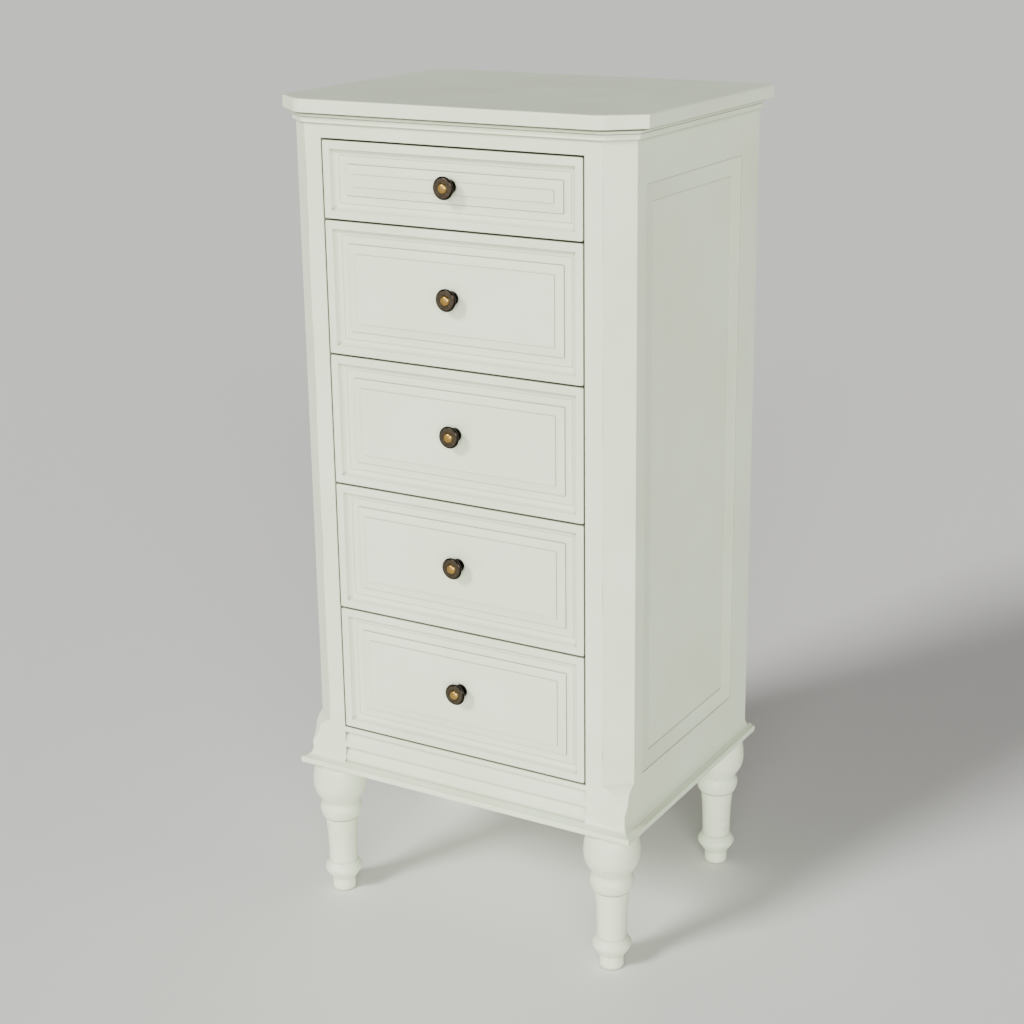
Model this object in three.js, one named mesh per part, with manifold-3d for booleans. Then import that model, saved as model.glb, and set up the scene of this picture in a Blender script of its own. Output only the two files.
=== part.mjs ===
// Tall five-drawer chest on four turned legs: moulded top, canted corner posts, coved base.
// Millimetres, +Z up, front towards -Y. The case is drawn with its front face on y = 0, and the
// whole group then stands so that the origin is on the floor under the middle of its box.
import * as THREE from "three";
import { mergeVertices } from "three/addons/utils/BufferGeometryUtils.js";
import Module from "manifold-3d";

const wasm = await Module();
wasm.setup();

// ---------------------------------------------------------------- driving sizes (mm)
const JOINT_GAP = 0.3;          // paint-thin gap left between two pieces that touch
const HALF_GAP = JOINT_GAP / 2;
const PAST = 2;                 // how far a cutting solid runs past what it cuts

const CASE_WIDTH = 481;         // over the side frames
const CASE_DEPTH = 372;         // front face to back edge of the rear posts
const LEG_HEIGHT = 196;         // floor to the underside of the base board
const BASE_BOARD = 11;          // thickness of the base board
const FRIEZE = 32.5;            // front top rail, from the first drawer opening to the top panel
const TOP_THICK = 17;           // top panel
const TOP_OVER_FRONT = 16;      // top panel past the front face
const TOP_OVER_SIDE = 16.5;     // top panel past each side
const TOP_OVER_CANT = 13.5;     // top panel past each canted corner
const TOP_OVER_BACK = 8;        // top panel past the rear posts
const TOP_BEND = 30;            // soft bend where the top panel's front edge meets the cant
const TOP_ARRIS = 2.5;          // rounding of its upper edge
const TOP_UNDER_ARRIS = 1.2;    // easing of its lower edge

const DRAWER_COUNT = 5;
const SHALLOW_PITCH = 99.6;     // height of the first drawer's share of the front
const DEEP_PITCH = 172.6;       // height of each other drawer's share
const BOTTOM_RAIL = 52;         // height of the coved rail under the last drawer
const GAP_SIDE = 2.0;           // drawer front to stile
const GAP_LEVEL = 2.4;          // between two drawer fronts

const FACE_THICK = 20;          // face stiles, front rails and drawer fronts, all from one board
const STILE_WIDTH = 24;         // each face stile
const CANT_RUN = 31.5;          // how much of the front each canted corner takes
const CANT_DEPTH = 26;          // how far back the canted corner reaches on the side
const POST_DEPTH = 49;          // corner post along the side
const REAR_POST_DEPTH = 55;     // rear post along the side
const FRAME_THICK = 20;         // side rails
const SIDE_TOP_RAIL = 67;       // height of the upper side rail
const SIDE_BOTTOM_RAIL = 61.5;  // height of the lower side rail

const PANEL_BACK = 14.5;        // back of the side panel, inwards from the side face
const PANEL_SET = 0.5;          // outer rim of the side panel below the frame
const PANEL_SINK = 4;           // field of the side panel below the frame
const PANEL_BEVEL = 23;         // width of the sloped border
const PANEL_RIM = 1.2;          // flat rim outside the slope
const TONGUE = 5.7;             // tongue length round the side panel
const TONGUE_THICK = 5.4;

const BACK_THICK = 6;           // back panel
const REBATE = 8;               // rebate for the back panel in the rear posts

const BASE_PROJECTION = 12;     // base board past the front and the sides
const BASE_OVER_BACK = 7;
const FLARE_RADIUS = 12;        // cove that spreads the foot of the case on to the base board
const COVE_DROP = 2.5;          // the cove runs on into the base board by this much
const COVE_STOP = 1;            // and stops this far inside its edge
const BASE_NOSE = 2;            // rounding under the base board's edge

const STOP_TOP = 264;           // where the canted corner starts to run out
const STOP_HEIGHT = 42;         // height of the run-out

const STEP_BELOW = [8, 30.5];   // the bottom rail's two overhangs, down from its top edge
const STEP_DROP = 20;           // height of the cove under each
const STEP_DEPTH = 5;           // how far that cove goes in
const STEP_LIP = 2.5;           // height of the rounded lip that overhangs it

const CORNICE_HEIGHT = 12.8;    // beaded moulding under the top panel
const CORNICE_OVER = 6.6;       // how far its bead stands out
const CORNICE_FOOT = 4.4;       // how far its lower band stands out
const BAND_HOLLOW = 0.7;        // hollow of that band
const BEAD = 2.1;               // radius of the bead
const BEAD_BELOW = 1.4;         // shadow gap between the bead and the top panel
const BEAD_INSET = 1;           // how far that gap goes in behind the bead's middle
const QUIRK = 0.8;              // height of the quirk between the bead and the band

const FRONT_BORDER = 10.5;      // flat border round the drawer front
const FRONT_COVE = 8;           // cove radius inside the border
const FLAT_BAND = 10.5;         // flat band between the cove and the raised part
const FIELD_SLOPE = 12;         // sloped rim of the raised part
const FIELD_STEP = 1.4;         // small square steps at both ends of the slope
const FIELD_DEPTH = 4;          // field below the border

const BOX_CLEAR = 4;            // drawer box to each side of the opening
const BOX_SIDE = 12;            // drawer side, back
const REAR_CLEAR = 13.4;        // drawer box to the back of its runner frame
const BOX_BOTTOM = 5;           // bottom panel
const BOTTOM_RAISE = 8;         // bottom panel above the lower edge of the sides
const GROOVE_DEPTH = 5;         // groove for the bottom panel
const HEAD_ROOM = 12;           // drawer side below the next frame's underside, deep drawers
const SHALLOW_SIDE = 76;        // height of the first drawer's sides
const BACK_LOWER = 4;           // drawer back below the top of the sides
const SLIDE_CLEAR = 0.5;        // drawer side above its runner

const WEB_THICK = 16;           // runner frame
const WEB_RAIL = 50;            // its front and rear rails
const WEB_RUNNER = 58;          // its two runners
const GUIDE_HEIGHT = 12;        // strips that keep the drawer square
const GUIDE_CLEAR = 1.0;

const LEG_CENTRE_IN = 28.5;     // leg axis inwards from the side face
const LEG_CENTRE_FRONT = 21;    // leg axis behind the front face
const LEG_CENTRE_BACK = 29;     // leg axis in front of the case's back
const LEG_FOOT = 16;            // radius of the plain foot
const LEG_FOOT_ARRIS = 1.4;
const LEG_RING = 25.8;          // radius of the ring above the foot
const LEG_SHAFT_LOW = 19.3;     // radius of the shaft at its foot
const LEG_SHAFT_HIGH = 22.3;    // and at its head
const LEG_COLLAR = 28.9;        // radius of the collar above the shaft
const LEG_NECK = 25.8;          // radius between the collar and the bulb
const LEG_BULB = 36.8;          // largest radius
const LEG_HEAD = 30.9;          // radius under the base board
const TENON_RADIUS = 12;
const TENON_LENGTH = 8;
const TENON_CLEAR = 0.3;
const LEG_SIDES = 32;

const KNOB_RADIUS = 14.3;
const KNOB_REACH = 20.5;        // field of the drawer front to the crown of the knob
const KNOB_CROWN = 8.8;         // radius of the domed centre
const KNOB_NECK = 4.8;
const ROSE_RADIUS = 8.8;
const ROSE_THICK = 2.2;
const KNOB_RAISE = 2.5;         // knob above the middle of its drawer front
const SCREW_RADIUS = 2;
const SCREW_CLEAR = 0.4;
const SCREW_HEAD = 4.2;
const SCREW_HEAD_THICK = 2.4;
const KNOB_SIDES = 28;

// ---------------------------------------------------------------- fits
const HALF_CASE = CASE_WIDTH / 2;
const FACE_HALF = HALF_CASE - CANT_RUN;
const HALF_OPENING = FACE_HALF - STILE_WIDTH;
const BASE_TOP = LEG_HEIGHT + BASE_BOARD;
const OPENING_FLOOR = BASE_TOP + BOTTOM_RAIL + GAP_LEVEL / 2;
const OPENING_HEAD = OPENING_FLOOR + SHALLOW_PITCH + (DRAWER_COUNT - 1) * DEEP_PITCH;
const CASE_TOP = OPENING_HEAD + FRIEZE;
const HEIGHT = CASE_TOP + TOP_THICK;
const CASE_FOOT = BASE_TOP + JOINT_GAP;
const CASE_HEAD = CASE_TOP - JOINT_GAP;
const FLARE_TOP = BASE_TOP - COVE_DROP + FLARE_RADIUS;
const CANT_ANGLE = Math.atan2(-CANT_RUN, CANT_DEPTH);
const SIDE_INNER = FACE_HALF + HALF_GAP;
const BACK_FACE = CASE_DEPTH + TOP_OVER_BACK;
const FRAME_FRONT = FACE_THICK + JOINT_GAP;
const FRAME_BACK = CASE_DEPTH - REBATE - JOINT_GAP;
const REACH = 2 * Math.max(CASE_WIDTH, CASE_DEPTH);

// ---------------------------------------------------------------- the scene's groups
const chest = new THREE.Group();
chest.name = "tall_chest_of_drawers";
chest.position.y = (TOP_OVER_FRONT - BACK_FACE) / 2;
const carcass = new THREE.Group();
chest.add(carcass);

// ---------------------------------------------------------------- solids
function solid(geometry) {
  geometry.deleteAttribute("normal");
  geometry.deleteAttribute("uv");
  const merged = mergeVertices(geometry, 1e-4);
  const index = merged.index.array;
  const mesh = new wasm.Mesh({
    numProp: 3,
    vertProperties: new Float32Array(merged.attributes.position.array),
    triVerts: new Uint32Array(index),
  });
  return new wasm.Manifold(mesh);
}

function extrude(points, length) {
  const shape = new THREE.Shape(points.map(([u, v]) => new THREE.Vector2(u, v)));
  return new THREE.ExtrudeGeometry(shape, { depth: length, bevelEnabled: false, curveSegments: 1 });
}

// section drawn in (y, z), run along x
function alongX(points, x0, x1) {
  const geometry = extrude(points, x1 - x0);
  const turn = new THREE.Matrix4().set(0, 0, 1, x0, 1, 0, 0, 0, 0, 1, 0, 0, 0, 0, 0, 1);
  return solid(geometry.applyMatrix4(turn));
}

// section drawn in (x, z), run along y
function alongY(points, y0, y1) {
  const geometry = extrude(points, y1 - y0);
  const turn = new THREE.Matrix4().set(1, 0, 0, 0, 0, 0, -1, y1, 0, 1, 0, 0, 0, 0, 0, 1);
  return solid(geometry.applyMatrix4(turn));
}

// plan drawn in (x, y), run up z
function alongZ(points, z0, z1) {
  return solid(extrude(points, z1 - z0).translate(0, 0, z0));
}

function box(x0, x1, y0, y1, z0, z1) {
  const geometry = new THREE.BoxGeometry(x1 - x0, y1 - y0, z1 - z0);
  geometry.translate((x0 + x1) / 2, (y0 + y1) / 2, (z0 + z1) / 2);
  return solid(geometry);
}

// everything on the inner side of an upright moulded face; the profile gives how far the
// face stands out at each height, and the face looks along the plan angle
function within(angle, distance, profile) {
  const section = [[-REACH, profile[0][1]]];
  for (const [out, z] of profile) section.push([distance + out, z]);
  section.push([-REACH, profile[profile.length - 1][1]]);
  const block = alongY(section, -REACH, REACH);
  return block.rotate([0, 0, THREE.MathUtils.radToDeg(angle)]);
}

function common(solids) {
  return solids.reduce((whole, piece) => whole.intersect(piece));
}

function turned(profile, sides) {
  const points = profile.map(([radius, z]) => new THREE.Vector2(radius, z));
  const geometry = new THREE.LatheGeometry(points, sides);
  geometry.rotateX(Math.PI / 2);
  return geometry;
}

function arc(u, v, radius, from, to, steps) {
  const points = [];
  for (let i = 0; i <= steps; i += 1) {
    const angle = THREE.MathUtils.degToRad(from + ((to - from) * i) / steps);
    points.push([u + radius * Math.cos(angle), v + radius * Math.sin(angle)]);
  }
  return points;
}

// a smooth curve through a few points of a section
function swell(points, steps) {
  const curve = new THREE.SplineCurve(points.map(([u, v]) => new THREE.Vector2(u, v)));
  return curve.getPoints(steps).map((point) => [point.x, point.y]);
}

function place(name, piece, look, group = carcass, at = [0, 0, 0]) {
  const data = piece.getMesh();
  const geometry = new THREE.BufferGeometry();
  const corners = new Float32Array(data.vertProperties);
  geometry.setAttribute("position", new THREE.BufferAttribute(corners, 3));
  geometry.setIndex(new THREE.BufferAttribute(new Uint32Array(data.triVerts), 1));
  geometry.computeVertexNormals();
  const mesh = new THREE.Mesh(geometry, new THREE.MeshStandardMaterial(look));
  mesh.name = name;
  mesh.position.set(...at);
  group.add(mesh);
}

const PAINT = { color: 0xe6e7da, roughness: 0.42, metalness: 0 };
const PAINT_SIDE = { color: 0xe2e3d6, roughness: 0.42, metalness: 0 };
const RAW_WOOD = { color: 0xd9b98a, roughness: 0.7, metalness: 0 };
const PLYWOOD = { color: 0xcfae7e, roughness: 0.75, metalness: 0 };
const BRONZE = { color: 0x5a4632, roughness: 0.4, metalness: 0.9 };

// ---------------------------------------------------------------- plan of the moulded front
// upright faces of the front: side, cant, the facets of the soft bend, front, and back again
const BEND_FACETS = 4;
const BEND_CASE = TOP_BEND - TOP_OVER_CANT;

function frontFaces(overSide, overCant, overFront) {
  const faces = [
    { angle: 0, distance: HALF_CASE, over: overSide },
    { angle: CANT_ANGLE, distance: FACE_HALF * Math.cos(CANT_ANGLE), over: overCant },
  ];
  const front = -Math.PI / 2;
  const lean = (CANT_ANGLE - front) / 2;
  const centreX = FACE_HALF - BEND_CASE * Math.tan(lean);
  for (let i = 1; i < BEND_FACETS; i += 1) {
    const share = i / BEND_FACETS;
    const angle = CANT_ANGLE + (front - CANT_ANGLE) * share;
    const distance = centreX * Math.cos(angle) + BEND_CASE * Math.sin(angle) + BEND_CASE;
    const over = overCant + (overFront - overCant) * share;
    faces.push({ angle, distance, over });
  }
  const mirrored = faces.map((face) => ({ ...face, angle: Math.PI - face.angle }));
  return [...faces, { angle: front, distance: 0, over: overFront }, ...mirrored];
}

function mouldedPlan(faces, profile, backY) {
  const walls = faces.map((face) => within(face.angle, face.distance, profile(face.over)));
  const heights = profile(0);
  const low = heights[0][1];
  const high = heights[heights.length - 1][1];
  walls.push(within(Math.PI / 2, backY, [[0, low], [0, high]]));
  return common(walls);
}

// ---------------------------------------------------------------- top panel
const topProfile = (over) => [
  [over - TOP_UNDER_ARRIS, CASE_TOP],
  [over, CASE_TOP + TOP_UNDER_ARRIS],
  ...arc(over - TOP_ARRIS, HEIGHT - TOP_ARRIS, TOP_ARRIS, 0, 90, 3),
];
const topFaces = frontFaces(TOP_OVER_SIDE, TOP_OVER_CANT, TOP_OVER_FRONT);
place("top_panel", mouldedPlan(topFaces, topProfile, BACK_FACE), PAINT);

// ---------------------------------------------------------------- cornice under the top panel
const corniceProfile = () => {
  const foot = CASE_TOP - CORNICE_HEIGHT;
  const beadTop = CASE_HEAD - BEAD_BELOW;
  const beadFoot = beadTop - 2 * BEAD;
  const bandTop = beadFoot - QUIRK;
  const hollow = CORNICE_FOOT - BAND_HOLLOW;
  return [
    ...swell([[CORNICE_FOOT, foot], [hollow, (foot + bandTop) / 2], [CORNICE_FOOT, bandTop]], 6),
    [hollow, beadFoot],
    ...arc(CORNICE_OVER - BEAD, beadFoot + BEAD, BEAD, -90, 90, 8),
    [CORNICE_OVER - BEAD - BEAD_INSET, beadTop],
    [CORNICE_OVER - BEAD - BEAD_INSET, CASE_HEAD],
  ];
};
const corniceBand = mouldedPlan(frontFaces(0, 0, 0), corniceProfile, CASE_DEPTH);
const allHeights = [[JOINT_GAP, 0], [JOINT_GAP, 2 * HEIGHT]];
const cantDistance = FACE_HALF * Math.cos(CANT_ANGLE);
const caseCore = common([
  within(0, HALF_CASE, allHeights),
  within(Math.PI, HALF_CASE, allHeights),
  within(CANT_ANGLE, cantDistance, allHeights),
  within(Math.PI - CANT_ANGLE, cantDistance, allHeights),
  within(-Math.PI / 2, 0, allHeights),
]);
const cornice = corniceBand.subtract(caseCore);
const mitreAngle = CANT_ANGLE / 2 + Math.PI / 2;
const mitreDistance = HALF_CASE * Math.cos(mitreAngle) + CANT_DEPTH * Math.sin(mitreAngle);
const cutBand = [[0, 0], [0, 2 * HEIGHT]];
const frontOfMitreRight = within(mitreAngle, mitreDistance - HALF_GAP, cutBand);
const frontOfMitreLeft = within(Math.PI - mitreAngle, mitreDistance - HALF_GAP, cutBand);
const behindMitreRight = within(mitreAngle + Math.PI, -mitreDistance - HALF_GAP, cutBand);
const behindMitreLeft = within(-mitreAngle, -mitreDistance - HALF_GAP, cutBand);
const rightHalf = within(Math.PI, 0, cutBand);
const leftHalf = within(0, 0, cutBand);
place("cornice_front", common([cornice, frontOfMitreRight, frontOfMitreLeft]), PAINT);
place("cornice_right", common([cornice, behindMitreRight, rightHalf]), PAINT_SIDE);
place("cornice_left", common([cornice, behindMitreLeft, leftHalf]), PAINT_SIDE);

// ---------------------------------------------------------------- foot flare shared by the case
// how far the case stands out just above the base board
const flareAt = (z) => {
  const drop = Math.min(FLARE_TOP - z, FLARE_RADIUS);
  return drop <= 0 ? 0 : FLARE_RADIUS - Math.sqrt(FLARE_RADIUS ** 2 - drop ** 2);
};
const FLARE_STEPS = 8;
const flareProfile = (foot, head) => {
  const profile = [];
  for (let i = 0; i <= FLARE_STEPS; i += 1) {
    const z = foot + ((FLARE_TOP - foot) * i) / FLARE_STEPS;
    profile.push([flareAt(z), z]);
  }
  profile.push([0, head]);
  return profile;
};

// ---------------------------------------------------------------- corner posts
// the cant runs out in an ogee stop, below which the corner is square
const cornerReach = HALF_CASE * Math.cos(CANT_ANGLE) - FACE_HALF * Math.cos(CANT_ANGLE);
const STOP_CURVE = swell([
  [1.0, 1.03], [0.86, 0.95], [0.66, 0.74], [0.48, 0.625], [0.29, 0.55], [0.12, 0.31], [0, 0],
], 14);
const stopProfile = [[2 * cornerReach, CASE_FOOT]];
stopProfile.push([2 * cornerReach, STOP_TOP - STOP_HEIGHT - HALF_GAP / 10]);
for (const [down, out] of STOP_CURVE) {
  stopProfile.push([out * cornerReach, STOP_TOP - down * STOP_HEIGHT]);
}
stopProfile.push([0, CASE_HEAD]);
const PANEL_LOW = BASE_TOP + SIDE_BOTTOM_RAIL;
const PANEL_HIGH = CASE_TOP - SIDE_TOP_RAIL;
const GROOVE_BACK = HALF_CASE - PANEL_BACK;
const GROOVE_FACE = GROOVE_BACK + TONGUE_THICK + 2 * JOINT_GAP;
const GROOVE = TONGUE + JOINT_GAP;
const REAR_POST_FRONT = CASE_DEPTH - REAR_POST_DEPTH;
const bothSides = (draw) => [["right", 1], ["left", -1]].forEach(draw);
const mirror = (piece, side) => (side > 0 ? piece : piece.mirror([1, 0, 0]));
const upright = [[0, CASE_FOOT], [0, CASE_HEAD]];

const postBlock = common([
  within(-Math.PI / 2, 0, flareProfile(CASE_FOOT, CASE_HEAD)),
  within(0, HALF_CASE, flareProfile(CASE_FOOT, CASE_HEAD)),
  within(Math.PI, -SIDE_INNER, upright),
  within(Math.PI / 2, POST_DEPTH - HALF_GAP, upright),
  within(CANT_ANGLE, FACE_HALF * Math.cos(CANT_ANGLE), stopProfile),
]);
const postGroove = box(
  GROOVE_BACK, GROOVE_FACE, POST_DEPTH - GROOVE, POST_DEPTH + PAST,
  PANEL_LOW - GROOVE, PANEL_HIGH + GROOVE,
);
const cornerPost = postBlock.subtract(postGroove);

const rearBlock = common([
  within(0, HALF_CASE, flareProfile(CASE_FOOT, CASE_HEAD)),
  within(Math.PI, -SIDE_INNER, upright),
  within(Math.PI / 2, CASE_DEPTH, upright),
  within(-Math.PI / 2, -REAR_POST_FRONT - HALF_GAP, upright),
]);
const rearGroove = box(
  GROOVE_BACK, GROOVE_FACE, REAR_POST_FRONT - PAST, REAR_POST_FRONT + GROOVE,
  PANEL_LOW - GROOVE, PANEL_HIGH + GROOVE,
);
const backRebate = box(
  SIDE_INNER - PAST, FACE_HALF + REBATE, CASE_DEPTH - REBATE, CASE_DEPTH + PAST,
  CASE_FOOT - PAST, CASE_HEAD + PAST,
);
const rearPost = rearBlock.subtract(rearGroove).subtract(backRebate);

// ---------------------------------------------------------------- side rails and panels
const RAIL_INNER = HALF_CASE - FRAME_THICK;
const RAIL_Y0 = POST_DEPTH + HALF_GAP;
const RAIL_Y1 = REAR_POST_FRONT - HALF_GAP;
const topRail = box(
  RAIL_INNER, HALF_CASE, RAIL_Y0, RAIL_Y1, PANEL_HIGH + HALF_GAP, CASE_HEAD,
).subtract(box(
  GROOVE_BACK, GROOVE_FACE, RAIL_Y0 - PAST, RAIL_Y1 + PAST,
  PANEL_HIGH - PAST, PANEL_HIGH + GROOVE,
));
const lowRailSection = [[RAIL_INNER, CASE_FOOT]];
for (const [out, z] of flareProfile(CASE_FOOT, PANEL_LOW - HALF_GAP)) {
  lowRailSection.push([HALF_CASE + out, z]);
}
lowRailSection.push([RAIL_INNER, PANEL_LOW - HALF_GAP]);
const lowRail = alongY(lowRailSection, RAIL_Y0, RAIL_Y1).subtract(box(
  GROOVE_BACK, GROOVE_FACE, RAIL_Y0 - PAST, RAIL_Y1 + PAST,
  PANEL_LOW - GROOVE, PANEL_LOW + PAST,
));

const panelY0 = POST_DEPTH + JOINT_GAP;
const panelY1 = REAR_POST_FRONT - JOINT_GAP;
const panelZ0 = PANEL_LOW + JOINT_GAP;
const panelZ1 = PANEL_HIGH - JOINT_GAP;
const panelFace = HALF_CASE - PANEL_SET;
const panelField = HALF_CASE - PANEL_SINK;
const tongueX0 = GROOVE_BACK + JOINT_GAP;
const panelBody = box(tongueX0, panelFace, panelY0, panelY1, panelZ0, panelZ1);
const tongueBoard = box(
  tongueX0, tongueX0 + TONGUE_THICK, panelY0 - TONGUE, panelY1 + TONGUE,
  panelZ0 - TONGUE, panelZ1 + TONGUE,
);
const sinkSection = (low, high) => [
  [panelFace + PAST, low + PANEL_RIM], [panelFace + PAST, high - PANEL_RIM],
  [panelFace, high - PANEL_RIM], [panelField, high - PANEL_BEVEL],
  [panelField, low + PANEL_BEVEL], [panelFace, low + PANEL_RIM],
];
const sinkAlongZ = alongZ(sinkSection(panelY0, panelY1), panelZ0, panelZ1);
const sinkAlongY = alongY(sinkSection(panelZ0, panelZ1), panelY0, panelY1);
const sidePanel = panelBody.subtract(sinkAlongZ.intersect(sinkAlongY)).add(tongueBoard);

bothSides(([word, side]) => {
  place(`corner_post_${word}`, mirror(cornerPost, side), PAINT);
  place(`rear_post_${word}`, mirror(rearPost, side), PAINT_SIDE);
  place(`side_rail_top_${word}`, mirror(topRail, side), PAINT_SIDE);
  place(`side_rail_bottom_${word}`, mirror(lowRail, side), PAINT_SIDE);
  place(`side_panel_${word}`, mirror(sidePanel, side), PAINT_SIDE);
});

// ---------------------------------------------------------------- face stiles and front rails
const stileSection = [[FACE_THICK, CASE_FOOT]];
for (const [out, z] of flareProfile(CASE_FOOT, CASE_HEAD)) stileSection.push([-out, z]);
stileSection.push([FACE_THICK, CASE_HEAD]);
const faceStile = alongX(stileSection, HALF_OPENING, FACE_HALF - HALF_GAP);
bothSides(([word, side]) => {
  place(`face_stile_${word}`, mirror(faceStile, side), PAINT);
});

const RAIL_END = HALF_OPENING - JOINT_GAP;
place("front_rail_top", box(
  -RAIL_END, RAIL_END, 0, FACE_THICK, OPENING_HEAD + GAP_LEVEL / 2, CASE_HEAD,
), PAINT);

// two overhanging steps, each with a cove that comes back out to the face below it
const bottomSection = [[FACE_THICK, CASE_FOOT]];
const BOTTOM_HEAD = BASE_TOP + BOTTOM_RAIL;
const lowestCove = BOTTOM_HEAD - STEP_BELOW[1] - STEP_DROP;
for (const [out, z] of flareProfile(CASE_FOOT, lowestCove).slice(0, -1)) {
  bottomSection.push([-out, z]);
}
const COVE_STEPS = 8;
const stepUp = (head) => {
  for (let i = 0; i <= COVE_STEPS; i += 1) {
    const rise = i / COVE_STEPS;
    bottomSection.push([STEP_DEPTH * rise ** 2, head - STEP_DROP + rise * (STEP_DROP - STEP_LIP)]);
  }
  const lip = [[STEP_DEPTH * 0.8, head - 1], [STEP_DEPTH * 0.3, head], [0, head + 1]];
  bottomSection.push(...swell(lip, 3));
};
stepUp(BOTTOM_HEAD - STEP_BELOW[1]);
stepUp(BOTTOM_HEAD - STEP_BELOW[0]);
bottomSection.push([0, BOTTOM_HEAD]);
bottomSection.push([FACE_THICK, BOTTOM_HEAD]);
place("front_rail_bottom", alongX(bottomSection, -RAIL_END, RAIL_END), PAINT);

// ---------------------------------------------------------------- base board
// the cove's lower end, from where it stops short of the board's edge up to the joint
const baseProfile = () => {
  const stopDrop = Math.sqrt(FLARE_RADIUS ** 2 - (FLARE_RADIUS - BASE_PROJECTION + COVE_STOP) ** 2);
  const coveStop = FLARE_TOP - stopDrop;
  const profile = arc(BASE_PROJECTION - BASE_NOSE, LEG_HEIGHT + BASE_NOSE, BASE_NOSE, -90, 0, 3);
  profile.push([BASE_PROJECTION, coveStop - COVE_STOP]);
  for (let i = 0; i <= 4; i += 1) {
    const z = coveStop + ((BASE_TOP - coveStop) * i) / 4;
    profile.push([flareAt(z), z]);
  }
  return profile;
};
const squareFaces = [
  { angle: 0, distance: HALF_CASE, over: 0 },
  { angle: Math.PI, distance: HALF_CASE, over: 0 },
  { angle: -Math.PI / 2, distance: 0, over: 0 },
];
const LEG_X = HALF_CASE - LEG_CENTRE_IN;
const LEG_Y = [LEG_CENTRE_FRONT, CASE_DEPTH - LEG_CENTRE_BACK];
const LEG_PLACES = [
  ["front_left", -LEG_X, LEG_Y[0]], ["front_right", LEG_X, LEG_Y[0]],
  ["back_left", -LEG_X, LEG_Y[1]], ["back_right", LEG_X, LEG_Y[1]],
];
let baseBoard = mouldedPlan(squareFaces, baseProfile, CASE_DEPTH + BASE_OVER_BACK);
const holeRadius = TENON_RADIUS + TENON_CLEAR;
const holeTop = LEG_HEIGHT + TENON_LENGTH + TENON_CLEAR;
const tenonHole = solid(turned([
  [0, LEG_HEIGHT - PAST], [holeRadius, LEG_HEIGHT - PAST], [holeRadius, holeTop], [0, holeTop],
], LEG_SIDES));
for (const [, x, y] of LEG_PLACES) {
  baseBoard = baseBoard.subtract(tenonHole.translate([x, y, 0]));
}
place("base_board", baseBoard, PAINT);

// ---------------------------------------------------------------- turned legs
// the turnings at the foot are measured up from the floor, the collar and the bulb down from
// the head, and the shaft between them takes up any change of length
const LEG_TOP = LEG_HEIGHT - JOINT_GAP;
const down = (points) => points.map(([radius, z]) => [radius, LEG_TOP - z]);
const legProfile = [
  [0, 0],
  ...arc(LEG_FOOT - LEG_FOOT_ARRIS, LEG_FOOT_ARRIS, LEG_FOOT_ARRIS, -90, 0, 2),
  [LEG_FOOT, 17],
  ...swell([
    [LEG_FOOT + 0.6, 19], [20.6, 23.2], [LEG_RING, 33], [21.5, 42], [LEG_SHAFT_LOW, 44.2],
  ], 8),
  [LEG_SHAFT_LOW, 49],
  [(LEG_SHAFT_LOW + LEG_SHAFT_HIGH) / 2 - 0.6, LEG_TOP / 2 - 14],
  ...down([[LEG_SHAFT_HIGH, 87], [LEG_SHAFT_HIGH, 85]]),
  ...swell(down([[LEG_SHAFT_HIGH + 3.2, 81.8], [LEG_COLLAR, 69.5], [LEG_NECK, 60.8]]), 5),
  ...swell(down([
    [LEG_NECK, 58.4], [34.6, 43], [LEG_BULB, 27.5], [34.6, 9.6], [LEG_HEAD, 0],
  ]), 9),
  [TENON_RADIUS, LEG_TOP],
  [TENON_RADIUS, LEG_TOP + TENON_LENGTH],
  [0, LEG_TOP + TENON_LENGTH],
];
const leg = solid(turned(legProfile, LEG_SIDES));
for (const [name, x, y] of LEG_PLACES) {
  place(`leg_${name}`, leg, PAINT, carcass, [x, y, 0]);
}

// ---------------------------------------------------------------- back panel
const BACK_HALF = FACE_HALF + REBATE - JOINT_GAP;
const BACK_Y = CASE_DEPTH - REBATE + JOINT_GAP;
place("back_panel", box(
  -BACK_HALF, BACK_HALF, BACK_Y, BACK_Y + BACK_THICK, CASE_FOOT, CASE_HEAD,
), PLYWOOD);

// ---------------------------------------------------------------- runner frames
const WEB_HALF = SIDE_INNER - JOINT_GAP;
const BOX_HALF = HALF_OPENING - BOX_CLEAR;
const WEB_TOP = WEB_THICK / 2;
const webBoard = box(-WEB_HALF, WEB_HALF, FRAME_FRONT, FRAME_BACK, -WEB_TOP, WEB_TOP);
const webHole = box(
  WEB_RUNNER - WEB_HALF, WEB_HALF - WEB_RUNNER,
  FRAME_FRONT + WEB_RAIL, FRAME_BACK - WEB_RAIL, -WEB_TOP - PAST, WEB_TOP + PAST,
);
const guide = box(
  BOX_HALF + GUIDE_CLEAR, WEB_HALF, FRAME_FRONT, FRAME_BACK, 0, WEB_TOP + GUIDE_HEIGHT,
);
const runnerFrame = webBoard.subtract(webHole).add(guide).add(guide.mirror([1, 0, 0]));

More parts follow.
